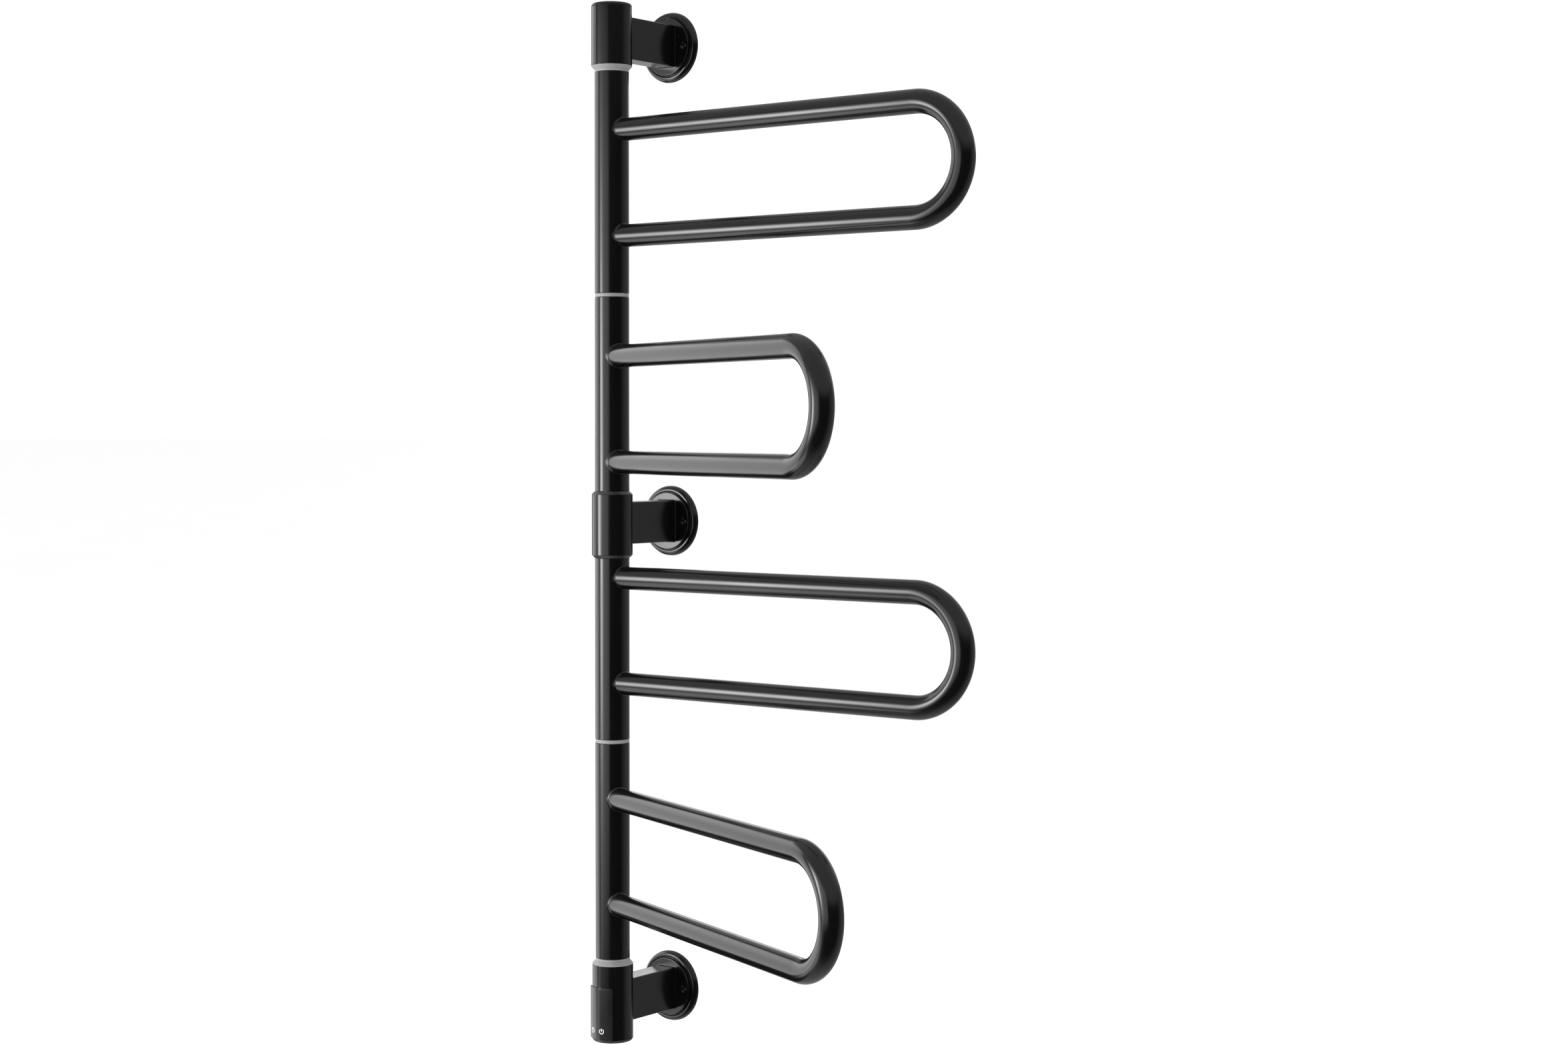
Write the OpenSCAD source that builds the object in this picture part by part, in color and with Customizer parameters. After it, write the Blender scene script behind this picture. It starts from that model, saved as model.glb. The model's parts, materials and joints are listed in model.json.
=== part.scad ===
// Swivelling towel warmer for a bathroom wall. A post of four turning tube segments, each
// with one U-shaped bar, runs on a fixed inner pipe that three wall brackets hold.
// +Z is up, the wall is the plane Y = 0, the room is towards -Y, and the origin is the
// centre of the middle wall flange's back face. All sizes are in millimetres.

/* [Post] */
// Outside diameter of the turning tube segments
post_d = 38.1; // [36:0.1:40]
// Wall thickness of the turning tube segments
post_wall = 1.5; // [1:0.1:2]
// Outside diameter of the fixed inner pipe
pipe_d = 25; // [23:0.5:27]
// Wall thickness of the inner pipe
pipe_wall = 2; // [1.5:0.1:2.5]
// Distance from the wall to the axis of the post
post_to_wall = 102; // [95:1:130]

/* [Arms] */
// Outside diameter of the bent bars
bar_d = 25.4; // [20:0.1:28]
// Wall thickness of the bent bars
bar_wall = 1.2; // [1:0.1:2]
// Distance between the centre lines of a bar's two legs
leg_pitch = 117.5; // [100:0.5:130]
// Distance from the post's axis to the outermost point of a bar
arm_reach = 483.2; // [300:0.1:600]
// Height of the first arm's middle
arm_1_z = 378; // [360:1:390]
// Height of the second arm's middle
arm_2_z = 127; // [115:1:150]
// Height of the third arm's middle
arm_3_z = -119.4; // [-160:0.2:-118]
// Height of the fourth arm's middle
arm_4_z = -365.5; // [-380:0.5:-345]
// Resting turn of the second arm out from the wall, in degrees
splay_2 = 23.1; // [0:0.1:90]
// Resting turn of the fourth arm out from the wall, in degrees
splay_4 = 21.8; // [0:0.1:90]

/* [Heights] */
// Top of the top cap
top_z = 577.6; // [570:0.1:600]
// Lower edge of the ring under the top collar
top_ring_z = 501.4; // [495:0.1:505]
// Height of the ring under the top collar, and of the one above the control housing
cone_ring_h = 6.9; // [5:0.1:9]
// Middle of the joint ring between the first and second segments
upper_joint_z = 253.6; // [230:0.1:270]
// Thickness of the joint rings
joint_ring_h = 3.9; // [3:0.1:6]
// Top of the middle collar with its end ring
middle_top_z = 35.6; // [33:0.1:40]
// Bottom of the middle collar with its end ring
middle_bottom_z = -38.5; // [-40:0.1:-33]
// Thickness of the middle collar's end rings
end_ring_h = 3.2; // [2:0.1:5]
// Middle of the joint ring between the third and fourth segments
lower_joint_z = -242.6; // [-255:0.1:-230]
// Top of the ring above the control housing
bottom_ring_z = -485.2; // [-490:0.1:-480]
// Underside of the bottom cap
bottom_z = -578.2; // [-590:0.2:-572]

/* [Brackets] */
// Outside diameter of the three collars
collar_d = 45.5; // [43:0.5:50]
// Wall thickness of the collars
collar_wall = 2.2; // [1.5:0.1:3]
// Width of a bracket arm
bracket_w = 26; // [24:1:30]
// Height of a bracket arm
bracket_h = 47; // [40:1:50]
// Wall thickness of a bracket arm
bracket_wall = 2; // [1.5:0.1:3]
// Height of the top bracket's middle
bracket_top_z = 540.5; // [536:0.5:544]
// Height of the bottom bracket's middle
bracket_bottom_z = -534.5; // [-538:0.5:-530]
// Diameter of a wall flange
flange_d = 80; // [76:1:90]
// Thickness of a wall flange
flange_t = 9.5; // [8:0.5:12]
// Distance between a flange's two wall screws
screw_pitch = 51; // [48:1:54]
// Diameter of a wall screw hole
screw_hole_d = 4.5; // [4:0.1:5]

/* [Control panel] */
// Thickness of the panel outside the housing
panel_t = 1.8; // [1:0.1:2.5]
// Height of the panel
panel_h = 58; // [50:1:60]
// Width of the panel round the housing, in degrees
panel_sweep = 94; // [80:1:110]
// Turn of the panel's middle from the front towards the arms' resting side, in degrees
panel_turn = -6; // [-20:1:20]
// Diameter of the two touch symbols
symbol_d = 6.4; // [5:0.2:8]
// Height of the symbols' middle above the panel's lower edge
symbol_up = 10; // [8:0.2:20]

/* [Turning fits] */
// Radial clearance between a bushing and the inner pipe
running_gap = 0.05; // [0.02:0.01:0.1]
// Gap between a turning segment and the ring next to it
end_gap = 0.3; // [0.3:0.05:0.5]
// Height of a bushing
bushing_h = 16; // [12:1:20]
// Radius of a stop pin
stop_pin_r = 1.5; // [1:0.1:2]
// Play of a stop pin at each end of the half turn, in degrees
stop_play = 2; // [1:0.5:4]

/* [Hidden] */
$fn = 96;
over = 1;

post_r = post_d / 2;
post_bore_r = post_r - post_wall;
pipe_r = pipe_d / 2;
pipe_bore_r = pipe_r - pipe_wall;
bar_r = bar_d / 2;
bar_bore_r = bar_r - bar_wall;
bend_r = leg_pitch / 2;
leg_end_x = arm_reach - bar_r - bend_r;
collar_r = collar_d / 2;
collar_bore_r = collar_r - collar_wall;
flange_r = flange_d / 2;

// The arms from the top down: height, resting turn, and lower and upper end of the segment
arm_zs = [arm_1_z, arm_2_z, arm_3_z, arm_4_z];
arm_turns = [0, -splay_2, 0, -splay_4];
segment_lows = [
    upper_joint_z + joint_ring_h / 2 + end_gap,
    middle_top_z + end_gap,
    lower_joint_z + joint_ring_h / 2 + end_gap,
    bottom_ring_z + end_gap
];
segment_highs = [
    top_ring_z - end_gap,
    upper_joint_z - joint_ring_h / 2 - end_gap,
    middle_bottom_z - end_gap,
    lower_joint_z - joint_ring_h / 2 - end_gap
];

// Caps, the rings' spigots and the pipe's ends
cap_h = 4;
cap_edge_r = 3;
cap_spigot_h = 4;
spigot_h = 8;
cap_spigot_wall = 4;
pipe_top_z = top_z - cap_h - cap_spigot_h - over;
pipe_end_up = 6.5;
pipe_bottom_z = bracket_bottom_z + pipe_end_up;
cone_top_r = collar_r - 0.1;
cone_neck_h = 2.6;
cone_lip_h = 1;
end_ring_inner_r = post_r + 0.5;
end_ring_outer_r = collar_r - 0.2;
joint_ring_r = post_r - 0.2;

// A wall flange's steps, from the domed rim in to the flat disc in the middle
dome_foot = 0.8;
dome_w = 4.8;
bead_h = 6.8;
bead_flat = 0.6;
step_slope = 0.4;
disc_r = flange_r - 7.5;
groove_h = 5.2;
flange_edge = 0.8;
socket_clear = 0.2;
flange_spigot_l = 12;
countersink_r = 4.3;

// Screws
grub_r = 2.5;
grub_l = 8;
grub_sink = 0.3;
grub_socket_r = 1.5;
pipe_screw_socket_r = 2;
socket_depth = 3;
head_r = 4.5;
head_h = 4;
pipe_screw_r = 2.5;
pipe_screw_past = 1.5;
pipe_screw_zs = [bracket_top_z, 0, pipe_bottom_z + 8];

// The stop: a pin in the pipe runs in a pocket of the lower bushing
pocket_r = pipe_r + 3;
pocket_h = 5;
pin_end_gap = 0.5;
pin_reach = pocket_r - pin_end_gap;
pin_half_angle = asin(stop_pin_r / pipe_r) + stop_play;
pin_azimuth = 90;

// Wiring
cable_r = 2.5;
cable_end_x = pipe_r + 2;
lead_hole_r = 4;
loom_r = 3;
loom_bend_r = 12;
loom_z = bracket_bottom_z - 9.5;
loom_hole_r = 7;
grommet_r = 7;
grommet_bore_r = 4.5;
grommet_l = 8;
block_size = [16, 22, 18];
block_y = -38;
block_wire_r = 2;
block_wire_depth = 4;

// Panel, its window in the housing, and the board behind it
panel_lift = 0.9;
panel_z = bottom_z + cap_edge_r + panel_lift;
panel_edge = 0.7;
window_margin = 6;
window_inset_angle = 8;
symbol_relief = 0.25;
symbol_film = 0.03;
symbol_line = 0.9;
power_gap = 3 * symbol_line;
power_bar = [symbol_line, symbol_d / 2];
power_bar_up = symbol_d / 10;
hour_hand_l = symbol_d * 0.3;
minute_hand_l = symbol_d * 0.35;
power_turn = 10.8;
timer_turn = -21.4;
board_size = [30, 1.6, 36];
board_y = 12;
board_z = bottom_z + cap_h + cap_spigot_h + 1;
relay_size = [14, 9, 16];
relay_at = [2, 2];
capacitor_r = 3.5;
capacitor_h = 14;
capacitor_at = [23, 4];
sensor_r = 2;
sensor_gap = 1.6;

// Places its children on the post's axis at a height, turned about it
module on_post(z = 0, turn = 0) {
    translate([0, -post_to_wall, z]) rotate([0, 0, turn]) children();
}

// Points its children's +Z from the wall plane into the room, at a height
module from_wall(z = 0) {
    translate([0, 0, z]) rotate([90, 0, 0]) children();
}

// Points its children's +Z sideways, away from the post's axis
module sideways(azimuth = 0) {
    rotate([0, 0, azimuth]) rotate([0, 90, 0]) children();
}

module tube(outer_r, inner_r, h) {
    linear_extrude(h) difference() {
        circle(outer_r);
        circle(inner_r);
    }
}

// A turned outline: the points are [radius, height]
module turned(points) {
    rotate_extrude() polygon(points);
}

// The points of a quarter circle about [radius, height], from one angle to the other
function arc(centre, r, from, to, steps = 8) = [
    for (i = [0:steps])
        let (a = from + (to - from) * i / steps)
            [centre[0] + r * cos(a), centre[1] + r * sin(a)]
];

/* Brackets */

module flange_outline() {
    dome_r = flange_r - dome_w;
    turned(concat(
        [[0, 0], [flange_r, 0]],
        [for (p = arc([0, 0], 1, 0, 90))
            [dome_r + dome_w * p[0], dome_foot + (bead_h - dome_foot) * p[1]]],
        [[dome_r - bead_flat, bead_h], [disc_r + step_slope, groove_h], [disc_r, groove_h]],
        arc([disc_r - flange_edge, flange_t - flange_edge], flange_edge, 0, 90),
        [[0, flange_t]]
    ));
}

module flange_spigot(l) {
    w = bracket_w - 2 * bracket_wall - 2 * socket_clear;
    h = bracket_h - 2 * bracket_wall - 2 * socket_clear;
    translate([-w / 2, -h / 2, flange_t - over]) cube([w, h, l + over]);
}

// side is 1 where the grub screw comes from above and -1 where it comes from below
module wall_flange(z, side, cable_hole_r = 0) {
    color([0.03, 0.03, 0.03]) from_wall(z) difference() {
        union() {
            flange_outline();
            flange_spigot(flange_spigot_l);
        }
        for (x = [-1, 1]) translate([x * screw_pitch / 2, 0, 0]) {
            translate([0, 0, -over]) cylinder(d = screw_hole_d, h = flange_t + 2 * over);
            translate([0, 0, flange_t - countersink_r + screw_hole_d / 2])
                cylinder(r1 = screw_hole_d / 2, r2 = countersink_r + over,
                         h = countersink_r - screw_hole_d / 2 + over);
        }
        grub_axis(side) cylinder(r = grub_r, h = grub_l);
        if (cable_hole_r > 0)
            translate([0, 0, -over])
                cylinder(r = cable_hole_r, h = flange_t + flange_spigot_l + 2 * over);
    }
}

// The grub screw's place in a flange's own frame, its +Z pointing into the spigot
module grub_axis(side) {
    translate([0, side * (bracket_h / 2 - grub_sink), flange_t + flange_spigot_l / 2])
        rotate([side * 90, 0, 0]) children();
}

module bracket_arm(z, side) {
    color([0.02, 0.02, 0.02]) difference() {
        from_wall(z) translate([0, 0, flange_t]) linear_extrude(post_to_wall - flange_t)
            difference() {
                square([bracket_w, bracket_h], center = true);
                square([bracket_w - 2 * bracket_wall, bracket_h - 2 * bracket_wall],
                       center = true);
            }
        on_post(z - bracket_h) cylinder(r = collar_r, h = 2 * bracket_h);
        from_wall(z) grub_axis(side) translate([0, 0, -over])
            cylinder(r = grub_r, h = bracket_wall + 2 * over);
    }
}

module grub_screws() {
    places = [[bracket_top_z, 1], [0, -1], [bracket_bottom_z, -1]];
    color("gray") for (place = places)
        from_wall(place[0]) grub_axis(place[1]) difference() {
            cylinder(r = grub_r, h = grub_l);
            translate([0, 0, -over]) cylinder(r = grub_socket_r, h = socket_depth + over, $fn = 6);
        }
}

module pipe_screws() {
    shank_l = collar_r - pipe_bore_r + pipe_screw_past;
    color("gray") for (z = pipe_screw_zs)
        on_post(z) sideways(pin_azimuth) translate([0, 0, collar_r]) difference() {
            union() {
                cylinder(r = head_r, h = head_h);
                translate([0, 0, -shank_l]) cylinder(r = pipe_screw_r, h = shank_l + over);
            }
            translate([0, 0, head_h - socket_depth])
                cylinder(r = pipe_screw_socket_r, h = socket_depth + over, $fn = 6);
        }
}

/* Collars, caps and the control housing */

module collar_shell(low, high, screw_z) {
    difference() {
        on_post(low) tube(collar_r, collar_bore_r, high - low);
        on_post(screw_z) sideways(pin_azimuth)
            cylinder(r = pipe_screw_r, h = collar_r + over);
    }
}

module collar_top() {
    color([0.02, 0.02, 0.02])
        collar_shell(top_ring_z + cone_ring_h, top_z - cap_h, pipe_screw_zs[0]);
}

module collar_middle() {
    color([0.02, 0.02, 0.02])
        collar_shell(middle_bottom_z + end_ring_h, middle_top_z - end_ring_h,
                     pipe_screw_zs[1]);
}

module control_housing() {
    color([0.02, 0.02, 0.02]) difference() {
        collar_shell(bottom_z + cap_h, bottom_ring_z - cone_ring_h, pipe_screw_zs[2]);
        on_post(loom_z) sideways(pin_azimuth) cylinder(r = loom_hole_r, h = collar_r + over);
        panel_arc(panel_z + window_margin, panel_h - 2 * window_margin,
                  panel_sweep - 2 * window_inset_angle)
            translate([collar_bore_r - over, 0])
                square([collar_wall + 2 * over, panel_h - 2 * window_margin]);
    }
}

// A cap with a rounded edge and a spigot, lying on its outer face
module cap() {
    turned(concat(
        [[0, 0], [collar_r - cap_edge_r, 0]],
        arc([collar_r - cap_edge_r, cap_edge_r], cap_edge_r, -90, 0),
        [[collar_r, cap_h], [collar_bore_r, cap_h], [collar_bore_r, cap_h + cap_spigot_h],
         [collar_bore_r - cap_spigot_wall, cap_h + cap_spigot_h],
         [collar_bore_r - cap_spigot_wall, cap_h], [0, cap_h]]
    ));
}

module top_cap() {
    color([0.03, 0.03, 0.03]) on_post(top_z) mirror([0, 0, 1]) cap();
}

module bottom_cap() {
    color([0.03, 0.03, 0.03]) on_post(bottom_z) cap();
}

/* Rings on the inner pipe */

// The ring's turning side is at height 0, and its spigot goes up into the collar
module cone_ring() {
    turned([
        [pipe_r, 0], [post_r, 0], [post_r, cone_neck_h],
        [cone_top_r, cone_ring_h - cone_lip_h], [cone_top_r, cone_ring_h],
        [collar_bore_r, cone_ring_h],
        [collar_bore_r, cone_ring_h + spigot_h], [pipe_r, cone_ring_h + spigot_h]
    ]);
}

module top_ring() {
    color([0.6, 0.6, 0.6]) on_post(top_ring_z) cone_ring();
}

module bottom_ring() {
    color([0.6, 0.6, 0.6]) on_post(bottom_ring_z) mirror([0, 0, 1]) cone_ring();
}

module end_ring() {
    turned([
        [pipe_r, 0], [end_ring_inner_r, 0], [end_ring_outer_r, end_ring_h],
        [collar_bore_r, end_ring_h], [collar_bore_r, end_ring_h + spigot_h],
        [pipe_r, end_ring_h + spigot_h]
    ]);
}

module middle_ring_upper() {
    color([0.05, 0.05, 0.05]) on_post(middle_top_z) mirror([0, 0, 1]) end_ring();
}

module middle_ring_lower() {
    color([0.05, 0.05, 0.05]) on_post(middle_bottom_z) end_ring();
}

module joint_ring(z) {
    color([0.6, 0.6, 0.6]) on_post(z - joint_ring_h / 2)
        tube(joint_ring_r, pipe_r, joint_ring_h);
}

/* Inner pipe and stops */

function stop_z(i) = segment_lows[i] + bushing_h - pocket_h / 2;

module inner_pipe() {
    color("silver") difference() {
        on_post(pipe_bottom_z) tube(pipe_r, pipe_bore_r, pipe_top_z - pipe_bottom_z);
        for (i = [0:3]) on_post(stop_z(i)) sideways(pin_azimuth)
            cylinder(r = stop_pin_r, h = pipe_r + over);
        for (i = [0:3]) on_post(arm_zs[i]) sideways()
            cylinder(r = lead_hole_r, h = pipe_r + over);
        for (z = pipe_screw_zs) on_post(z) sideways(pin_azimuth)
            cylinder(r = pipe_screw_r, h = pipe_r + over);
    }
}

module stop_pins() {
    color("silver") for (i = [0:3])
        on_post(stop_z(i)) sideways(pin_azimuth) translate([0, 0, pipe_bore_r])
            cylinder(r = stop_pin_r, h = pin_reach - pipe_bore_r);
}

/* Wiring */

module cable_grommet() {
    color([0.1, 0.1, 0.1]) from_wall(bracket_bottom_z)
        tube(grommet_r, grommet_bore_r, grommet_l);
}

module terminal_block() {
    floor_z = bracket_bottom_z - bracket_h / 2 + bracket_wall;
    color("ivory") translate([-block_size[0] / 2, block_y - block_size[1], floor_z])
        difference() {
            cube(block_size);
            for (x = [0.25, 0.75], y = [0.3, 0.7])
                translate([block_size[0] * x, block_size[1] * y,
                           block_size[2] - block_wire_depth])
                    cylinder(r = block_wire_r, h = block_wire_depth + over);
        }
}

module wiring_loom() {
    block_front = block_y - block_size[1];
    color("firebrick") union() {
        on_post(loom_z + loom_bend_r) cylinder(r = loom_r, h = arm_1_z - loom_z - loom_bend_r);
        on_post(loom_z + loom_bend_r) translate([0, loom_bend_r, 0]) rotate([90, 0, -90])
            rotate_extrude(angle = -90) translate([loom_bend_r, 0]) circle(loom_r);
        translate([0, block_front, loom_z]) rotate([90, 0, 0])
            cylinder(r = loom_r, h = post_to_wall - loom_bend_r + block_front);
    }
}

module circuit_board() {
    board_at = [-board_size[0] / 2, -board_y - board_size[1], board_z];
    sensor_z = panel_z + symbol_up - board_z;
    color("darkgreen") on_post() translate(board_at) {
        cube(board_size);
        translate([relay_at[0], board_size[1], relay_at[1]]) cube(relay_size);
        translate([capacitor_at[0], board_size[1] + capacitor_r, capacitor_at[1]])
            cylinder(r = capacitor_r, h = capacitor_h);
        for (turn = [power_turn, timer_turn]) {
            sensor_x = collar_bore_r * sin(turn) + board_size[0] / 2;
            reach = collar_bore_r * cos(turn) - board_y - board_size[1] - sensor_gap;
            translate([sensor_x, 0, sensor_z]) rotate([90, 0, 0])
                cylinder(r = sensor_r, h = reach);
        }
    }
}

/* Control panel */

// Sweeps a [radius, height] outline round the post over the panel's middle
module panel_arc(z, h, sweep) {
    on_post(z, panel_turn - 90 - sweep / 2) rotate_extrude(angle = sweep) children();
}

module control_panel() {
    color([0.05, 0.05, 0.05]) {
        panel_arc(panel_z, panel_h, panel_sweep)
            translate([collar_r, 0]) polygon([
                [0, 0], [panel_t - panel_edge, 0], [panel_t, panel_edge],
                [panel_t, panel_h - panel_edge], [panel_t - panel_edge, panel_h], [0, panel_h]
            ]);
        panel_arc(panel_z + window_margin, panel_h - 2 * window_margin,
                  panel_sweep - 2 * window_inset_angle)
            translate([collar_bore_r, 0]) square([collar_wall, panel_h - 2 * window_margin]);
    }
}

// Lays a flat symbol on the panel over a thin film of glue, turned from the front towards +X
module symbol(turn) {
    face_r = collar_r + panel_t + symbol_film;
    intersection() {
        on_post(panel_z) tube(face_r + symbol_relief, face_r, panel_h);
        on_post(panel_z + symbol_up, turn) rotate([90, 0, 0])
            linear_extrude(face_r + over) children();
    }
}

module open_ring(gap) {
    r = symbol_d / 2;
    difference() {
        circle(r);
        circle(r - symbol_line);
        translate([-gap / 2, 0]) square([gap, r + over]);
    }
}

module power_symbol() {
    color("white") symbol(power_turn) {
        open_ring(power_gap);
        translate([-symbol_line / 2, power_bar_up]) square(power_bar);
    }
}

module timer_symbol() {
    color("white") symbol(timer_turn) {
        open_ring(0);
        translate([-symbol_line / 2, -symbol_line / 2]) {
            square([symbol_line, minute_hand_l]);
            square([hour_hand_l, symbol_line]);
        }
    }
}

/* Arms */

// Two straight legs and a half-round bend, swept from the outline given as the child
module bar_path(start_x) {
    for (side = [-1, 1])
        translate([start_x, 0, side * bend_r]) rotate([0, 90, 0])
            linear_extrude(leg_end_x - start_x) children();
    translate([leg_end_x, 0, 0]) rotate([90, 0, 0]) rotate([0, 0, -90])
        rotate_extrude(angle = 180) translate([bend_r, 0]) children();
}

module u_bar(i) {
    color([0.02, 0.02, 0.02]) on_post(arm_zs[i], arm_turns[i]) difference() {
        bar_path(0) difference() {
            circle(bar_r);
            circle(bar_bore_r);
        }
        translate([0, 0, -arm_reach / 2]) cylinder(r = post_r, h = arm_reach);
    }
}

module heating_cable(i) {
    color("firebrick") on_post(arm_zs[i], arm_turns[i]) bar_path(cable_end_x)
        circle(cable_r);
}

module segment_tube(i) {
    low = segment_lows[i];
    color([0.02, 0.02, 0.02]) on_post(low, arm_turns[i]) difference() {
        tube(post_r, post_bore_r, segment_highs[i] - low);
        for (side = [-1, 1]) translate([0, 0, arm_zs[i] - low + side * bend_r]) sideways()
            cylinder(r = lead_hole_r, h = post_r + over);
    }
}

module bushing_upper(i) {
    color("whitesmoke") on_post(segment_highs[i] - bushing_h, arm_turns[i])
        tube(post_bore_r, pipe_r + running_gap, bushing_h);
}

// The pocket in its top face lets the stop pin pass over a half turn
module bushing_lower(i) {
    color("whitesmoke") on_post(segment_lows[i], arm_turns[i]) difference() {
        tube(post_bore_r, pipe_r + running_gap, bushing_h);
        translate([0, 0, bushing_h - pocket_h]) rotate([0, 0, pin_azimuth - pin_half_angle])
            rotate_extrude(angle = 180 + 2 * pin_half_angle)
                translate([pipe_r - over, 0]) square([pocket_r - pipe_r + over, pocket_h + over]);
    }
}

wall_flange(bracket_top_z, 1);  // wall_flange_top
wall_flange(0, -1);  // wall_flange_middle
wall_flange(bracket_bottom_z, -1, grommet_r);  // wall_flange_bottom
bracket_arm(bracket_top_z, 1);  // bracket_arm_top
bracket_arm(0, -1);  // bracket_arm_middle
bracket_arm(bracket_bottom_z, -1);  // bracket_arm_bottom
collar_top();
collar_middle();
control_housing();
top_cap();
bottom_cap();
inner_pipe();
top_ring();
joint_ring(upper_joint_z);  // upper_joint_ring
middle_ring_upper();
middle_ring_lower();
joint_ring(lower_joint_z);  // lower_joint_ring
bottom_ring();
control_panel();
power_symbol();
timer_symbol();
circuit_board();
terminal_block();
cable_grommet();
wiring_loom();
grub_screws();
pipe_screws();
stop_pins();
for (i = [0:3]) {
    segment_tube(i);
    u_bar(i);
    bushing_upper(i);
    bushing_lower(i);
    heating_cable(i);
}
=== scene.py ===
"""The looks of a swivelling heated towel rack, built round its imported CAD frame.

Everything is in metres in the frame's own axes: +Z is up, the wall is the plane Y = 0 and the
room is towards -Y. Sizes come from the frame's boxes; what CAD leaves plain is given here in mm.
"""
import json
import math

import bmesh
import bpy
from mathutils import Matrix, Vector


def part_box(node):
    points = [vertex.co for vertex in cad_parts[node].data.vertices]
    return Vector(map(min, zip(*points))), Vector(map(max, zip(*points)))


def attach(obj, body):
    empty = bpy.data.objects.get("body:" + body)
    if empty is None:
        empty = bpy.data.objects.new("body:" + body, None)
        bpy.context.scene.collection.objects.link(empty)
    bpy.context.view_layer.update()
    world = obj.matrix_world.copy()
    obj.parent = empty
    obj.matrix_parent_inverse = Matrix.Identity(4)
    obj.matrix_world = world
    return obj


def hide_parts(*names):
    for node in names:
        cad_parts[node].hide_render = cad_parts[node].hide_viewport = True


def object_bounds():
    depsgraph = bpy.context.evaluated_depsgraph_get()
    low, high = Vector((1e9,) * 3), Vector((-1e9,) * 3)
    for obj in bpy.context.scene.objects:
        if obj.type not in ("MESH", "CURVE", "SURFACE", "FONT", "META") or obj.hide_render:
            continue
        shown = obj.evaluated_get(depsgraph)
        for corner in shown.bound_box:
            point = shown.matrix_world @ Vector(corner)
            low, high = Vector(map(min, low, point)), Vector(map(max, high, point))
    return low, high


MM = 0.001

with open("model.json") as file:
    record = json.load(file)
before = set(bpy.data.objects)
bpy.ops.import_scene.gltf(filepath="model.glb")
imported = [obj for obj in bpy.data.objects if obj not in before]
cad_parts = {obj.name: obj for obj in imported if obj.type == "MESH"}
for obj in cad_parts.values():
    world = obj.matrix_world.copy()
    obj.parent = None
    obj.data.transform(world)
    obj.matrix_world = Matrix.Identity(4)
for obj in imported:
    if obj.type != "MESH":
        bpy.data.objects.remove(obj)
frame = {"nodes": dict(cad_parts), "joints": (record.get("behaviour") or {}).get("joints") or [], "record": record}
cad_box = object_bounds()


# ---------------------------------------------------------------- sizes, read from the frame

def span(node):
    """The lowest corner, highest corner and size of a CAD node."""
    low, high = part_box(node)
    return low, high, high - low


def half_width(node):
    return span(node)[2].x / 2


tube_low, tube_high, tube_size = span("segment_tube_1")
POST = Vector(((tube_low.x + tube_high.x) / 2, (tube_low.y + tube_high.y) / 2, 0))
POST_R = tube_size.x / 2
POST_BORE_R = half_width("bushing_upper_1")
PIPE_R = half_width("inner_pipe")
_, bar_high, bar_size = span("u_bar_1")
BAR_R = bar_size.y / 2
BAR_WALL = 1.2 * MM
BEND_R = bar_size.z / 2 - BAR_R
LEG_END = bar_high.x - POST.x - BAR_R - BEND_R
COLLAR_R = half_width("collar_top")
COLLAR_BORE_R = COLLAR_R - 2.2 * MM
FLANGE_R = half_width("wall_flange_top")
ARMS = (1, 2, 3, 4)


def middle_height(node):
    low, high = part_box(node)
    return (low.z + high.z) / 2


def rest_turn(arm):
    """An arm's turn at rest from its upper limit, where it is parallel to the wall."""
    for joint in frame["joints"]:
        if joint["child"] == f"arm_{arm}":
            return -math.radians(joint["range_deg"][1])
    raise ValueError(f"no joint moves arm {arm}")


# ---------------------------------------------------------------- camera

CAMERA_TURN = math.radians(38)
CAMERA_DEPTH = 2.82
CAMERA_RIGHT = 0.1914
CAMERA_HEIGHT = 0.105
CAMERA_LENS = 58.1
CAMERA_SENSOR = 36
CAMERA_SHIFT = -0.0333
CAMERA_DIP = math.radians(0.936)


def make_camera():
    """A nearly level camera to the right of the post, looking past it towards the wall."""
    data = bpy.data.cameras.new("camera")
    data.sensor_width = CAMERA_SENSOR
    data.lens = CAMERA_LENS
    data.shift_y = CAMERA_SHIFT
    camera = bpy.data.objects.new("camera", data)
    forward = Vector((-math.sin(CAMERA_TURN), math.cos(CAMERA_TURN), 0))
    right = Vector((math.cos(CAMERA_TURN), math.sin(CAMERA_TURN), 0))
    camera.location = POST - forward * CAMERA_DEPTH + right * CAMERA_RIGHT
    camera.location.z = CAMERA_HEIGHT
    camera.rotation_euler = (math.radians(90) - CAMERA_DIP, 0, CAMERA_TURN)
    bpy.context.scene.collection.objects.link(camera)
    bpy.context.scene.camera = camera


# ---------------------------------------------------------------- materials

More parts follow.
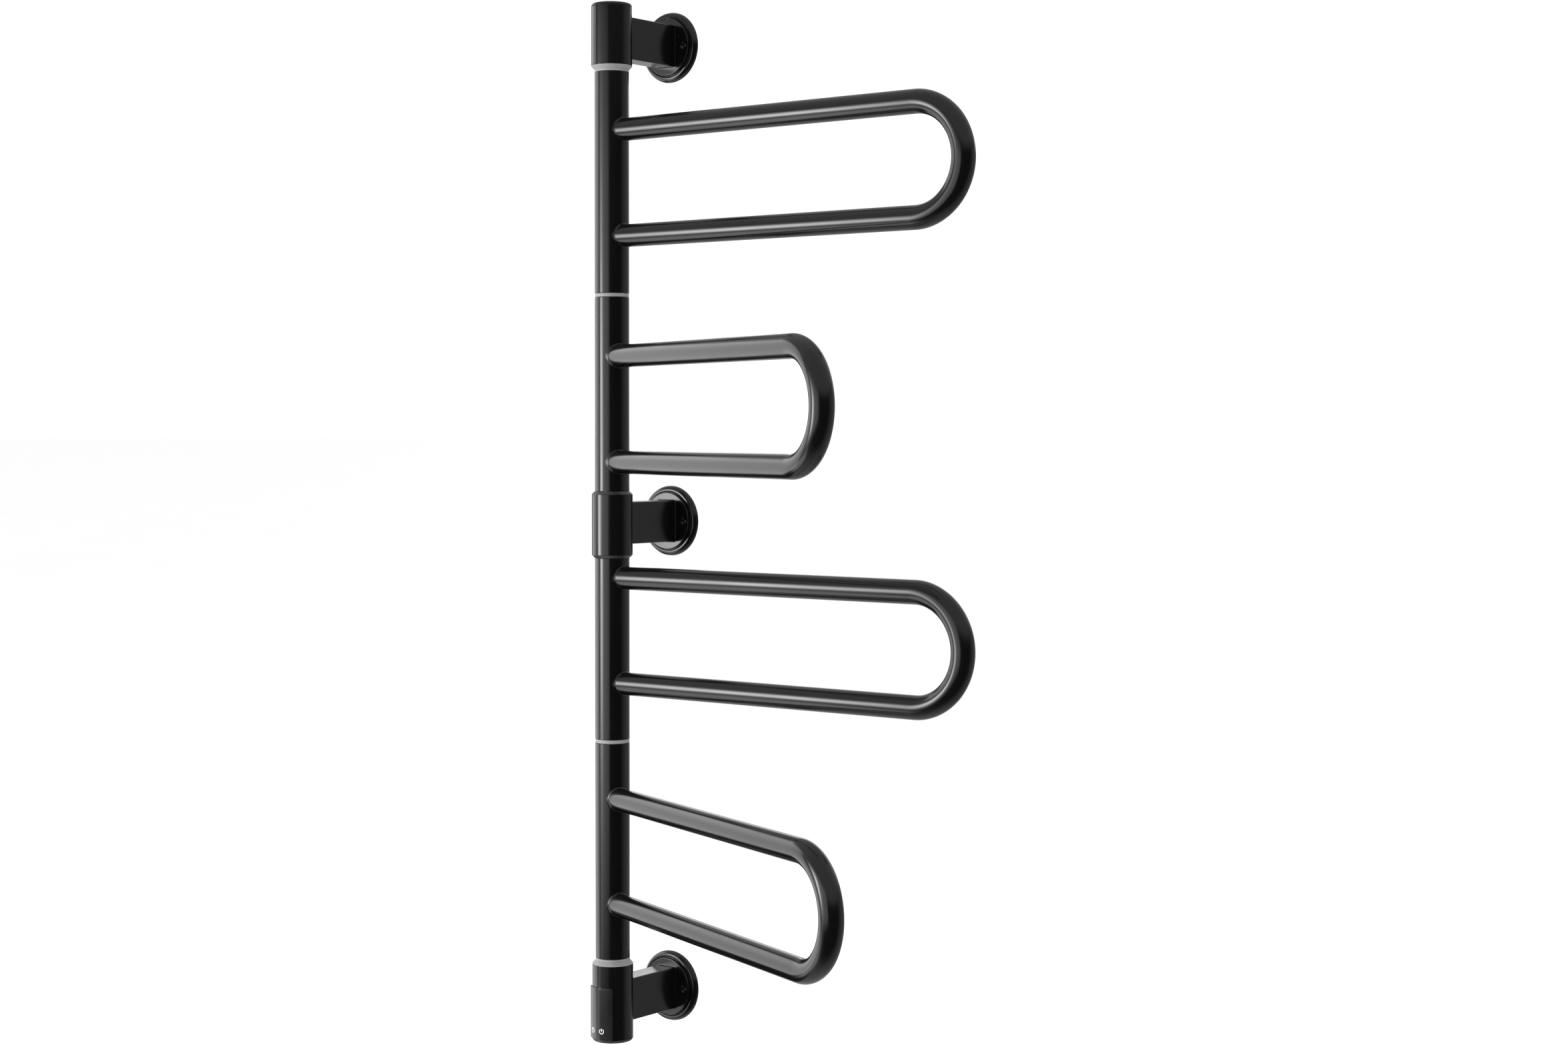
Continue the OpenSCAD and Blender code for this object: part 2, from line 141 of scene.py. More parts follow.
class Nodes:
    """A material's node tree, with the few node patterns that the finishes share.

    Noise and cell scales are per metre, and relief depths are in metres."""

    def __init__(self, name):
        self.material = bpy.data.materials.new(name)
        self.material.use_nodes = True
        self.tree = self.material.node_tree
        self.shader = self.tree.nodes["Principled BSDF"]
        self.place = self.tree.nodes.new("ShaderNodeTexCoord").outputs["Object"]

    def join(self, source, target):
        self.tree.links.new(source, target)

    def stretched(self, x, y, z):
        node = self.tree.nodes.new("ShaderNodeMapping")
        node.inputs["Scale"].default_value = (x, y, z)
        self.join(self.place, node.inputs["Vector"])
        return node.outputs["Vector"]

    def noise(self, per_metre, detail=2.0, where=None):
        node = self.tree.nodes.new("ShaderNodeTexNoise")
        node.inputs["Scale"].default_value = per_metre
        node.inputs["Detail"].default_value = detail
        self.join(where or self.place, node.inputs["Vector"])
        return node.outputs["Fac"]

    def cells(self, per_metre):
        node = self.tree.nodes.new("ShaderNodeTexVoronoi")
        node.inputs["Scale"].default_value = per_metre
        self.join(self.place, node.inputs["Vector"])
        return node.outputs["Distance"]

    def between(self, factor, low, high, start=0.3, end=0.7):
        """Carries a 0 to 1 factor to a range of plain numbers."""
        node = self.tree.nodes.new("ShaderNodeMapRange")
        for name, value in (("From Min", start), ("From Max", end),
                            ("To Min", low), ("To Max", high)):
            node.inputs[name].default_value = value
        self.join(factor, node.inputs["Value"])
        return node.outputs["Result"]

    def tints(self, factor, *stops):
        """A colour ramp through (position, colour) stops."""
        node = self.tree.nodes.new("ShaderNodeValToRGB")
        ramp = node.color_ramp
        while len(ramp.elements) < len(stops):
            ramp.elements.new(0.5)
        for element, (position, colour) in zip(ramp.elements, stops):
            element.position = position
            element.color = (*colour, 1)
        self.join(factor, node.inputs["Fac"])
        return node.outputs["Color"]

    def relief(self, height, depth, below=None):
        """Bump of a real depth in metres, on top of another bump."""
        node = self.tree.nodes.new("ShaderNodeBump")
        node.inputs["Strength"].default_value = 1
        node.inputs["Distance"].default_value = depth
        self.join(height, node.inputs["Height"])
        if below:
            self.join(below, node.inputs["Normal"])
        return node.outputs["Normal"]

    def finish(self, **plain):
        for name, value in plain.items():
            self.shader.inputs[name.replace("_", " ")].default_value = value
        return self.material


def grey(value):
    return (value, value, value)


def coated_metal():
    """Semi-gloss black coating: a faint orange peel, fine specks and slow changes of gloss."""
    n = Nodes("coated_metal")
    n.join(n.tints(n.noise(900, 3), (0.35, grey(0.0022)), (0.75, grey(0.0040))),
           n.shader.inputs["Base Color"])
    n.join(n.between(n.noise(14, 4), 0.15, 0.22), n.shader.inputs["Roughness"])
    peel = n.relief(n.noise(260, 1), 5.5e-6)
    n.join(n.relief(n.noise(1800, 1), 5e-7, peel), n.shader.inputs["Normal"])
    return n.finish(IOR=1.5)


def black_plastic():
    """Moulded black plastic with a fine spark-eroded grain."""
    n = Nodes("black_plastic")
    n.join(n.tints(n.noise(60, 3), (0.3, grey(0.024)), (0.7, grey(0.034))),
           n.shader.inputs["Base Color"])
    n.join(n.between(n.noise(40, 3), 0.26, 0.36), n.shader.inputs["Roughness"])
    n.join(n.relief(n.cells(2400), 4e-6), n.shader.inputs["Normal"])
    return n.finish(IOR=1.48)


def grey_plastic():
    """Light grey moulded acetal, slightly mottled."""
    n = Nodes("grey_plastic")
    n.join(n.tints(n.noise(90, 3), (0.3, grey(0.215)), (0.7, grey(0.25))),
           n.shader.inputs["Base Color"])
    n.join(n.between(n.noise(50, 3), 0.38, 0.5), n.shader.inputs["Roughness"])
    turning = n.noise(1, 2, n.stretched(60, 60, 2600))
    n.join(n.relief(turning, 6e-6, n.relief(n.cells(1900), 4e-6)), n.shader.inputs["Normal"])
    return n.finish(IOR=1.48)


def panel_plastic():
    """The touch panel's glossy black plastic, with a slight ripple from moulding."""
    n = Nodes("panel_plastic")
    n.join(n.tints(n.noise(30, 3), (0.3, grey(0.010)), (0.7, grey(0.014))),
           n.shader.inputs["Base Color"])
    n.join(n.between(n.noise(25, 4), 0.12, 0.2), n.shader.inputs["Roughness"])
    n.join(n.relief(n.noise(120, 2), 1.2e-5), n.shader.inputs["Normal"])
    return n.finish(IOR=1.5)


def symbol_white():
    """The printed white of the touch symbols, a little uneven."""
    n = Nodes("symbol_white")
    n.join(n.tints(n.noise(1500, 3), (0.3, grey(0.72)), (0.7, grey(0.86))),
           n.shader.inputs["Base Color"])
    n.join(n.between(n.noise(1200, 2), 0.3, 0.45), n.shader.inputs["Roughness"])
    n.join(n.relief(n.noise(4000, 1), 3e-6), n.shader.inputs["Normal"])
    return n.finish(IOR=1.45)


def drawn_steel(name, dark, light, roughness):
    """Steel with fine lines along its length and a few duller patches."""
    n = Nodes(name)
    lines = n.noise(1, 3, n.stretched(1800, 1800, 22))
    n.join(n.tints(lines, (0.3, dark), (0.7, light)), n.shader.inputs["Base Color"])
    n.join(n.between(n.noise(35, 3), roughness - 0.06, roughness + 0.1),
           n.shader.inputs["Roughness"])
    n.join(n.relief(lines, 3e-6), n.shader.inputs["Normal"])
    return n.finish(Metallic=1.0)


def bare_steel():
    """The bright drawn steel of the inner pipe and stop pins."""
    return drawn_steel("bare_steel", grey(0.42), grey(0.6), 0.3)


def screw_steel():
    """The darkened steel of the screws."""
    return drawn_steel("screw_steel", grey(0.14), grey(0.24), 0.34)


def bushing_plastic():
    """Natural acetal with the turning marks of a machined bush."""
    n = Nodes("bushing_plastic")
    n.join(n.tints(n.noise(80, 3), (0.3, (0.68, 0.67, 0.63)), (0.7, (0.78, 0.77, 0.74))),
           n.shader.inputs["Base Color"])
    n.join(n.between(n.noise(60, 2), 0.34, 0.46), n.shader.inputs["Roughness"])
    n.join(n.relief(n.noise(1, 2, n.stretched(90, 90, 3200)), 5e-6), n.shader.inputs["Normal"])
    return n.finish(IOR=1.48)


def board_green():
    """Solder-resist green over a faint grid of tracks."""
    n = Nodes("board_green")
    tracks = n.tree.nodes.new("ShaderNodeTexBrick")
    tracks.inputs["Scale"].default_value = 160
    tracks.inputs["Mortar Size"].default_value = 0.03
    tracks.inputs["Color1"].default_value = (0.012, 0.085, 0.03, 1)
    tracks.inputs["Color2"].default_value = (0.016, 0.105, 0.04, 1)
    tracks.inputs["Mortar"].default_value = (0.05, 0.2, 0.08, 1)
    n.join(n.place, tracks.inputs["Vector"])
    n.join(tracks.outputs["Color"], n.shader.inputs["Base Color"])
    n.join(n.between(n.noise(300, 2), 0.2, 0.34), n.shader.inputs["Roughness"])
    n.join(n.relief(tracks.outputs["Fac"], 3e-5), n.shader.inputs["Normal"])
    return n.finish(IOR=1.5)


def terminal_ivory():
    """Ivory moulded plastic of the terminal block, lightly grained."""
    n = Nodes("terminal_ivory")
    n.join(n.tints(n.noise(120, 3), (0.3, (0.56, 0.5, 0.38)), (0.7, (0.68, 0.62, 0.5))),
           n.shader.inputs["Base Color"])
    n.join(n.between(n.noise(90, 2), 0.42, 0.56), n.shader.inputs["Roughness"])
    n.join(n.relief(n.cells(1600), 8e-6), n.shader.inputs["Normal"])
    return n.finish(IOR=1.5)


def grommet_rubber():
    """Dull black rubber with an uneven skin."""
    n = Nodes("grommet_rubber")
    n.join(n.tints(n.noise(200, 4), (0.3, grey(0.016)), (0.7, grey(0.03))),
           n.shader.inputs["Base Color"])
    n.join(n.between(n.noise(150, 3), 0.6, 0.78), n.shader.inputs["Roughness"])
    n.join(n.relief(n.noise(1800, 3), 1.5e-5), n.shader.inputs["Normal"])
    return n.finish(IOR=1.45)


def cable_sheath():
    """Red-brown silicone sheath with a slight ribbing from the strands under it."""
    n = Nodes("cable_sheath")
    n.join(n.tints(n.noise(150, 3), (0.3, (0.2, 0.028, 0.02)), (0.7, (0.3, 0.045, 0.03))),
           n.shader.inputs["Base Color"])
    n.join(n.between(n.noise(120, 2), 0.4, 0.55), n.shader.inputs["Roughness"])
    n.join(n.relief(n.noise(700, 2), 2e-5), n.shader.inputs["Normal"])
    return n.finish(IOR=1.42)


FINISHES = {
    "black_metal": coated_metal(),
    "black_plastic": black_plastic(),
    "grey_plastic": grey_plastic(),
    "panel_plastic": panel_plastic(),
    "symbol_white": symbol_white(),
    "bare_steel": bare_steel(),
    "screw_steel": screw_steel(),
    "bushing_plastic": bushing_plastic(),
    "board_green": board_green(),
    "terminal_ivory": terminal_ivory(),
    "grommet_rubber": grommet_rubber(),
    "cable_sheath": cable_sheath(),
}


def finish_cad_nodes():
    """Gives every carried-over CAD node its slot's procedural finish."""
    for part in frame["record"]["subparts"]:
        node = frame["nodes"][part["node"]]
        node.data.materials.clear()
        node.data.materials.append(FINISHES[part["material_slot"]])


# ---------------------------------------------------------------- mesh tools

SMOOTH_BELOW = math.radians(40)
SIDES = 128
FINE_SIDES = 160
HOLE_SIDES = 48
SEAT_SIDES = 64
SAME_SPOT = 1e-7
PAST_END = 2 * MM  # how far a cutter reaches past what it cuts
TOUCH = 0.1 * MM  # how far a coped end sinks into the round it meets


def merge_and_face_out(bm):
    """Joins vertices that share a spot and turns every face outwards."""
    bmesh.ops.remove_doubles(bm, verts=bm.verts, dist=SAME_SPOT)
    bmesh.ops.recalc_face_normals(bm, faces=bm.faces)


def piece(name, bm, slot, body, *stands_for):
    """Turns a bmesh into a smooth-shaded piece that rides on a body and stands for CAD nodes."""
    merge_and_face_out(bm)
    mesh = bpy.data.meshes.new(name)
    bm.to_mesh(mesh)
    bm.free()
    mesh.polygons.foreach_set("use_smooth", [True] * len(mesh.polygons))
    mesh.set_sharp_from_angle(angle=SMOOTH_BELOW)
    mesh.materials.append(FINISHES[slot])
    made = bpy.data.objects.new(name, mesh)
    bpy.context.scene.collection.objects.link(made)
    even = made.modifiers.new("even_shading", "WEIGHTED_NORMAL")
    even.keep_sharp = True
    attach(made, body)
    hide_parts(*stands_for)


def rounded(corners, steps=5):
    """A closed outline from (x, y, radius) corners, each turned by an arc of its radius."""
    outline = []
    for i, (x, y, radius) in enumerate(corners):
        corner = Vector((x, y))
        if not radius:
            outline.append(corner)
            continue
        back = (Vector(corners[i - 1][:2]) - corner).normalized()
        on = (Vector(corners[(i + 1) % len(corners)][:2]) - corner).normalized()
        half = back.angle(on) / 2
        centre = corner + (back + on).normalized() * radius / math.sin(half)
        first = corner + back * radius / math.tan(half) - centre
        last = corner + on * radius / math.tan(half) - centre
        start = math.atan2(first.y, first.x)
        sweep = math.atan2(first.x * last.y - first.y * last.x, first.dot(last))
        for k in range(steps + 1):
            a = start + sweep * k / steps
            outline.append(centre + Vector((math.cos(a), math.sin(a))) * radius)
    return outline


def lathe(outline, place, sides=SIDES):
    """Turns a closed outline of (radius, height) about +Z, placed by a matrix."""
    bm = bmesh.new()
    rings = []
    for k in range(sides):
        a = 2 * math.pi * k / sides
        rings.append([bm.verts.new(place @ Vector((r * math.cos(a), r * math.sin(a), h)))
                      for r, h in outline])
    skin(bm, rings, closed=True)
    return bm


def skin(bm, rings, closed=False):
    """Joins each ring of vertices to the next; every ring is a closed loop."""
    pairs = list(zip(rings, rings[1:]))
    if closed:
        pairs.append((rings[-1], rings[0]))
    for one, other in pairs:
        for k in range(len(one)):
            corners = [one[k - 1], one[k], other[k], other[k - 1]]
            spots = {tuple(v.co) for v in corners}
            if len(spots) > 2:
                bm.faces.new(corners)


def on_post(z=0.0, turn=0.0):
    """A frame on the post's axis at a height, turned about it."""
    return Matrix.Translation((POST.x, POST.y, z)) @ Matrix.Rotation(turn, 4, "Z")


def from_wall(z):
    """A frame on the wall at a height, with +Z pointing into the room."""
    return Matrix.Translation((0, 0, z)) @ Matrix.Rotation(math.radians(90), 4, "X")


def cut(bm, *cutters, join=()):
    """The bmesh with the join meshes added and the cutters taken away, by exact booleans."""
    base = bpy.data.objects.new("base", bpy.data.meshes.new("base"))
    merge_and_face_out(bm)
    bm.to_mesh(base.data)
    bm.free()
    tools = []
    for tool, operation in [(t, "UNION") for t in join] + [(t, "DIFFERENCE") for t in cutters]:
        merge_and_face_out(tool)
        mesh = bpy.data.meshes.new("tool")
        tool.to_mesh(mesh)
        tool.free()
        holder = bpy.data.objects.new("tool", mesh)
        bpy.context.scene.collection.objects.link(holder)
        step = base.modifiers.new("step", "BOOLEAN")
        step.operation = operation
        step.solver = "EXACT"
        step.object = holder
        tools.append(holder)
    bpy.context.scene.collection.objects.link(base)
    graph = bpy.context.evaluated_depsgraph_get()
    result = bmesh.new()
    result.from_mesh(base.evaluated_get(graph).to_mesh())
    for holder in [base] + tools:
        mesh = holder.data
        bpy.data.objects.remove(holder)
        bpy.data.meshes.remove(mesh)
    return result


# ---------------------------------------------------------------- brackets

FLANGE_T = 9.5 * MM
DOME_FOOT = 0.8 * MM
DOME_W = 4.8 * MM
DOME_STEPS = 14
BEAD_H = 6.8 * MM
DISC_R = FLANGE_R - 7.5 * MM
GROOVE_H = 5.2 * MM
SCREW_X = 25.5 * MM
SCREW_HOLE_R = 2.25 * MM
COUNTERSINK_R = 4.3 * MM
BRACKET_W = half_width("bracket_arm_top") * 2
BRACKET_H = span("bracket_arm_top")[2].z
BRACKET_WALL = 2 * MM
BRACKET_EDGE_R = 1.6 * MM
BRACKET_INNER_R = 0.6 * MM
SPIGOT_PLAY = 0.2 * MM
FILLET_W = 0.9 * MM
GRUB_SIDE = {"top": 1, "middle": -1, "bottom": -1}


def flange_outline():
    """The stepped rosette, from its axis out and back: edge, domed rim, groove and flat disc."""
    dome_r = FLANGE_R - DOME_W
    dome = []
    for k in range(DOME_STEPS):
        a = math.pi / 2 * k / DOME_STEPS
        dome.append((dome_r + DOME_W * math.cos(a),
                     DOME_FOOT + (BEAD_H - DOME_FOOT) * math.sin(a), 0))
    return rounded([(0, 0, 0), (FLANGE_R - 0.3 * MM, 0, 0.3 * MM)] + dome + [
        (dome_r - 0.9 * MM, BEAD_H, 0.5 * MM),
        (dome_r - 1.5 * MM, GROOVE_H + 0.3 * MM, 0.5 * MM),
        (DISC_R + 0.1 * MM, GROOVE_H, 0.4 * MM),
        (DISC_R, FLANGE_T, 0.9 * MM),
        (0, FLANGE_T, 0),
    ])


def screw_hole(place):
    """A countersunk screw hole, as the solid to take away."""
    flare = COUNTERSINK_R - SCREW_HOLE_R
    return lathe([(0, -PAST_END), (SCREW_HOLE_R, -PAST_END), (SCREW_HOLE_R, FLANGE_T - flare),
                  (COUNTERSINK_R, FLANGE_T), (COUNTERSINK_R + PAST_END, FLANGE_T + PAST_END),
                  (0, FLANGE_T + PAST_END)], place, HOLE_SIDES)


def box(low, high, place):
    """A plain block between two corners, for joining to a shape."""
    bm = bmesh.new()
    size = Vector(high) - Vector(low)
    centre = (Vector(high) + Vector(low)) / 2
    bmesh.ops.create_cube(bm, size=1, matrix=place @ Matrix.Translation(centre)
                          @ Matrix.Diagonal((*size, 1)))
    return bm


def make_flange(where):
    """A rosette with its two screw holes and its spigot, and the bottom one's cable seat."""
    node = f"wall_flange_{where}"
    low, high, _ = span(node)
    place = from_wall((low.z + high.z) / 2)
    spigot_w = BRACKET_W / 2 - BRACKET_WALL - SPIGOT_PLAY
    spigot_h = BRACKET_H / 2 - BRACKET_WALL - SPIGOT_PLAY
    spigot = box((-spigot_w, -spigot_h, FLANGE_T - 1 * MM), (spigot_w, spigot_h, -low.y), place)
    holes = [screw_hole(place @ Matrix.Translation((side * SCREW_X, 0, 0))) for side in (-1, 1)]
    if where == "bottom":
        seat_r = half_width("cable_grommet")
        holes.append(lathe([(0, -1 * MM), (seat_r, -1 * MM), (seat_r, 1 * MM - low.y),
                            (0, 1 * MM - low.y)], place, SEAT_SIDES))
    bm = cut(lathe(flange_outline(), place, FINE_SIDES), *holes, join=[spigot])
    piece(f"rosette_{where}", bm, "black_metal", "wall_frame", node)


def rectangle_outline(width, height, radius, across=16):
    """A rounded rectangle with its top and bottom edges divided, so that an end can be coped."""
    w, h = width / 2, height / 2
    corners = rounded([(w, -h, radius), (w, h, radius), (-w, h, radius), (-w, -h, radius)], 4)
    outline = []
    for one, other in zip(corners, corners[1:] + corners[:1]):
        outline.append(one)
        if abs(other.x - one.x) > width / 2:
            outline += [one.lerp(other, k / across) for k in range(1, across)]
    return outline


def make_bracket_arm(where, side):
    """A rectangular tube from the flange to the collar, its far end coped to the collar.

    side is 1 for a grub screw hole in its top face and -1 for one in its underside."""
    node = f"bracket_arm_{where}"
    low, high, _ = span(node)
    z = (low.z + high.z) / 2
    outer = rectangle_outline(BRACKET_W, BRACKET_H, BRACKET_EDGE_R)
    inner = rectangle_outline(BRACKET_W - 2 * BRACKET_WALL, BRACKET_H - 2 * BRACKET_WALL,
                              BRACKET_INNER_R)
    bm = bmesh.new()

    def loop(outline, y_at):
        return [bm.verts.new((x, y_at(x), z + up)) for x, up in outline]

    def coped(x):
        return POST.y + math.sqrt(COLLAR_R ** 2 - x ** 2) - TOUCH

    def at_flange(_):
        return high.y

    loops = [loop(outer, at_flange), loop(outer, coped),
             loop(inner, coped), loop(inner, at_flange)]
    skin(bm, loops, closed=True)
    grub_low, grub_high, grub_size = span("grub_screws")
    grub_r, reach = grub_size.x / 2, BRACKET_WALL + 1 * MM
    middle = (0, (grub_low.y + grub_high.y) / 2, z + side * BRACKET_H / 2)
    hole = lathe([(0, -reach), (grub_r, -reach), (grub_r, reach), (0, reach)],
                 Matrix.Translation(middle), HOLE_SIDES)
    piece(f"bracket_tube_{where}", cut(bm, hole), "black_metal", "wall_frame", node)


def make_bracket_weld(where):
    """The small fillet where a bracket arm meets its flange."""
    low, high, _ = span(f"bracket_arm_{where}")
    z = (low.z + high.z) / 2
    steps, sunk, into_flange = 5, 0.3 * MM, 0.05 * MM
    section = []
    for k in range(steps + 1):
        a = math.pi / 2 * k / steps
        section.append((FILLET_W * (1 - math.sin(a)), high.y - FILLET_W * (1 - math.cos(a))))
    section += [(-sunk, high.y - FILLET_W), (-sunk, high.y + into_flange),
                (FILLET_W, high.y + into_flange)]
    bm = bmesh.new()
    loops = []
    for grow, y in section:
        outline = rounded([(sx * (BRACKET_W / 2 + grow), sy * (BRACKET_H / 2 + grow),
                            BRACKET_EDGE_R)
                           for sx, sy in ((1, -1), (1, 1), (-1, 1), (-1, -1))], 4)
        loops.append([bm.verts.new((x, y, z + up)) for x, up in outline])
    skin(bm, loops, closed=True)
    piece(f"bracket_fillet_{where}", bm, "black_metal", "wall_frame")


# ---------------------------------------------------------------- collars, caps and rings

EDGE = 0.5 * MM
RING_SPIGOT = 8 * MM
NECK_H = 2.6 * MM
LIP_H = 1.0 * MM
FINE_LINE = 0.18 * MM
FLIPPED = Matrix.Rotation(math.radians(180), 4, "X")


def make_collar(name, node):
    """A plain collar with softened edges."""
    low, _, size = span(node)
    outline = rounded([(COLLAR_R, 0, EDGE), (COLLAR_R, size.z, EDGE),
                       (COLLAR_BORE_R, size.z, EDGE / 2), (COLLAR_BORE_R, 0, EDGE / 2)])
    piece(name, lathe(outline, on_post(low.z)), "black_metal", "wall_frame", node)


def cap_outline(height):
    """A cap with a wide soft edge, a shallow crown and a spigot, its outer face at height 0."""
    spigot_r = COLLAR_BORE_R - 4 * MM
    cap_h = height / 2
    return rounded([
        (0, 0.0, 0),
        (COLLAR_R * 0.55, 0.0, 2 * MM),
        (COLLAR_R - 0.05 * MM, 0.25 * MM, 3.2 * MM),
        (COLLAR_R - 0.05 * MM, cap_h - 0.35 * MM, 0.25 * MM),
        (COLLAR_BORE_R - 0.1 * MM, cap_h - 0.35 * MM, 0),
        (COLLAR_BORE_R - 0.1 * MM, height, 0.6 * MM),
        (spigot_r, height, 0.4 * MM),
        (spigot_r, cap_h, 0.8 * MM),
        (0, cap_h, 0),
    ], 8)


def make_caps():
    """The caps that close the top collar and the control housing."""
    _, high, size = span("top_cap")
    piece("top_cap_crown", lathe(cap_outline(size.z), on_post(high.z) @ FLIPPED), "black_metal",
          "wall_frame", "top_cap")
    low, _, size = span("bottom_cap")
    piece("bottom_cap_crown", lathe(cap_outline(size.z), on_post(low.z)), "black_plastic",
          "wall_frame", "bottom_cap")


def cone_lines(r0, h0, r1, h1):
    """Two fine turned grooves across a cone, as outline corners."""
    corners = []
    depth = 0.16 * MM
    for middle in (0.38, 0.7):
        for part, deep in ((-0.06, 0), (-0.02, depth), (0.02, depth), (0.06, 0)):
            t = middle + part
            corners.append((r0 + (r1 - r0) * t - deep, h0 + (h1 - h0) * t, 0))
    return corners


def make_cone_ring(name, node, flip):
    """A grey ring that spreads from the tube's diameter to the collar's, with a spigot."""
    low, high, size = span(node)
    ring_h = size.z - RING_SPIGOT
    lip_r = COLLAR_R - 0.1 * MM
    cone_r = lip_r - 0.35 * MM
    outline = rounded([
        (PIPE_R, 0, 0.3 * MM),
        (POST_R, 0, 0.35 * MM),
        (POST_R, NECK_H - 0.3 * MM, 0.1 * MM),
        (POST_R - 0.25 * MM, NECK_H - 0.1 * MM, 0.08 * MM),
        (POST_R + 0.1 * MM, NECK_H + 0.1 * MM, 0.15 * MM),
        *cone_lines(POST_R + 0.1 * MM, NECK_H, cone_r, ring_h - LIP_H),
        (cone_r, ring_h - LIP_H, 0.1 * MM),
        (lip_r, ring_h - LIP_H + 0.2 * MM, 0.2 * MM),
        (lip_r, ring_h, 0.25 * MM),
        (COLLAR_BORE_R, ring_h, 0),
        (COLLAR_BORE_R, size.z, 0.5 * MM),
        (PIPE_R, size.z, 0.3 * MM),
    ], 4)
    place = on_post(high.z) @ FLIPPED if flip else on_post(low.z)
    piece(name, lathe(outline, place), "grey_plastic", "wall_frame", node)


def make_end_ring(name, node, flip):
    """A black chamfered ring between the middle collar and a tube segment."""
    low, high, size = span(node)
    ring_h = size.z - RING_SPIGOT
    edge_r = COLLAR_R - 0.2 * MM
    outline = rounded([
        (PIPE_R, 0, 0.3 * MM),
        (POST_R + 0.5 * MM, 0, 0.3 * MM),
        (edge_r, ring_h - 0.25 * MM, 0.3 * MM),
        (edge_r, ring_h, 0.1 * MM),
        (COLLAR_BORE_R, ring_h, 0),
        (COLLAR_BORE_R, size.z, 0.5 * MM),
        (PIPE_R, size.z, 0.3 * MM),
    ], 4)
    place = on_post(high.z) @ FLIPPED if flip else on_post(low.z)
    piece(name, lathe(outline, place), "black_plastic", "wall_frame", node)


def make_joint_ring(name, node):
    """A thin grey ring between two tube segments, with a softened edge and a fine centre line."""
    low, _, size = span(node)
    ring_r = half_width(node)
    mid = size.z / 2
    outline = rounded([
        (PIPE_R, 0, 0.2 * MM),
        (ring_r, 0, 0.4 * MM),
        (ring_r, mid - FINE_LINE, 0.05 * MM),
        (ring_r - FINE_LINE, mid, 0.05 * MM),
        (ring_r, mid + FINE_LINE, 0.05 * MM),
        (ring_r, size.z, 0.4 * MM),
        (PIPE_R, size.z, 0.2 * MM),
    ], 4)
    piece(name, lathe(outline, on_post(low.z)), "grey_plastic", "wall_frame", node)


# ---------------------------------------------------------------- control panel and symbols

PANEL_T = 1.8 * MM
# turns about the housing are from its front, -Y, towards +X
PANEL_TURN = math.radians(-6)
PANEL_SWEEP = math.radians(94)
PANEL_CORNER_R = 2.4 * MM
PANEL_EDGE_R = 0.9 * MM
PANEL_SUNK = 0.3 * MM
PANEL_FACE_R = COLLAR_R + PANEL_T


def on_housing(along, up, out):
    """A point laid round the housing: along its curve from the front, up, and out from it."""
    turn = along / PANEL_FACE_R
    r = COLLAR_R + out
    return POST + Vector((r * math.sin(turn), -r * math.cos(turn), up))


def make_panel():
    """A rounded plate bent round the housing, crowned to a soft edge all the way round."""
    low, high, size = span("control_panel")
    middle_along = PANEL_TURN * PANEL_FACE_R
    middle_up = (low.z + high.z) / 2
    half_along = PANEL_SWEEP * PANEL_FACE_R / 2
    half_up = size.z / 2
    corner_steps, straight_steps, rows = 8, 56, 24

    def columns(inset):
        """(along, half height) of each column of the plate, for an outline moved in by inset."""
        radius = PANEL_CORNER_R - inset
        flat = half_along - PANEL_CORNER_R
        top = half_up - PANEL_CORNER_R
        ends = []
        for k in range(corner_steps + 1):
            a = math.pi / 2 * k / corner_steps
            ends.append((flat + radius * math.sin(a), top + radius * math.cos(a)))
        middle = [(flat * (2 * k / straight_steps - 1), top + radius)
                  for k in range(1, straight_steps)]
        return [(-x, h) for x, h in reversed(ends)] + middle + ends

    bm = bmesh.new()

    def sheet(inset, out):
        return [[bm.verts.new(on_housing(middle_along + x,
                                         middle_up + h * (2 * j / rows - 1), out))
                 for j in range(rows + 1)] for x, h in columns(inset)]

    def rim(grid):
        return ([column[0] for column in grid] + grid[-1][1:]
                + [column[-1] for column in reversed(grid[:-1])] + grid[0][-2:0:-1])

    def rim_only(inset, out):
        grid = sheet(inset, out)
        kept = rim(grid)
        inside = {v for column in grid for v in column} - set(kept)
        bmesh.ops.delete(bm, geom=list(inside), context="VERTS")
        return kept

    face = sheet(PANEL_EDGE_R, PANEL_T)
    back = sheet(0, -PANEL_SUNK)
    loops = [rim(back), rim_only(0, 0.0)]
    edge_steps = 5
    for k in range(edge_steps):
        a = math.pi / 2 * k / edge_steps
        loops.append(rim_only(PANEL_EDGE_R * (1 - math.cos(a)),
                              PANEL_T - PANEL_EDGE_R * (1 - math.sin(a))))
    loops.append(rim(face))
    skin(bm, loops)
    for grid in (face, back):
        for one, other in zip(grid, grid[1:]):
            for j in range(rows):
                bm.faces.new((one[j], other[j], other[j + 1], one[j + 1]))
    piece("touch_panel", bm, "panel_plastic", "wall_frame", "control_panel")


SYMBOL_R = 2.65 * MM
STROKE = 0.36 * MM
TIMER_STROKE = 0.26 * MM
POWER_TURN = math.radians(10.8)
TIMER_TURN = math.radians(-21.4)
SYMBOL_OUT = PANEL_T + 0.14 * MM
SYMBOL_IN = PANEL_T - 0.1 * MM
SYMBOL_BEVEL = 0.05 * MM


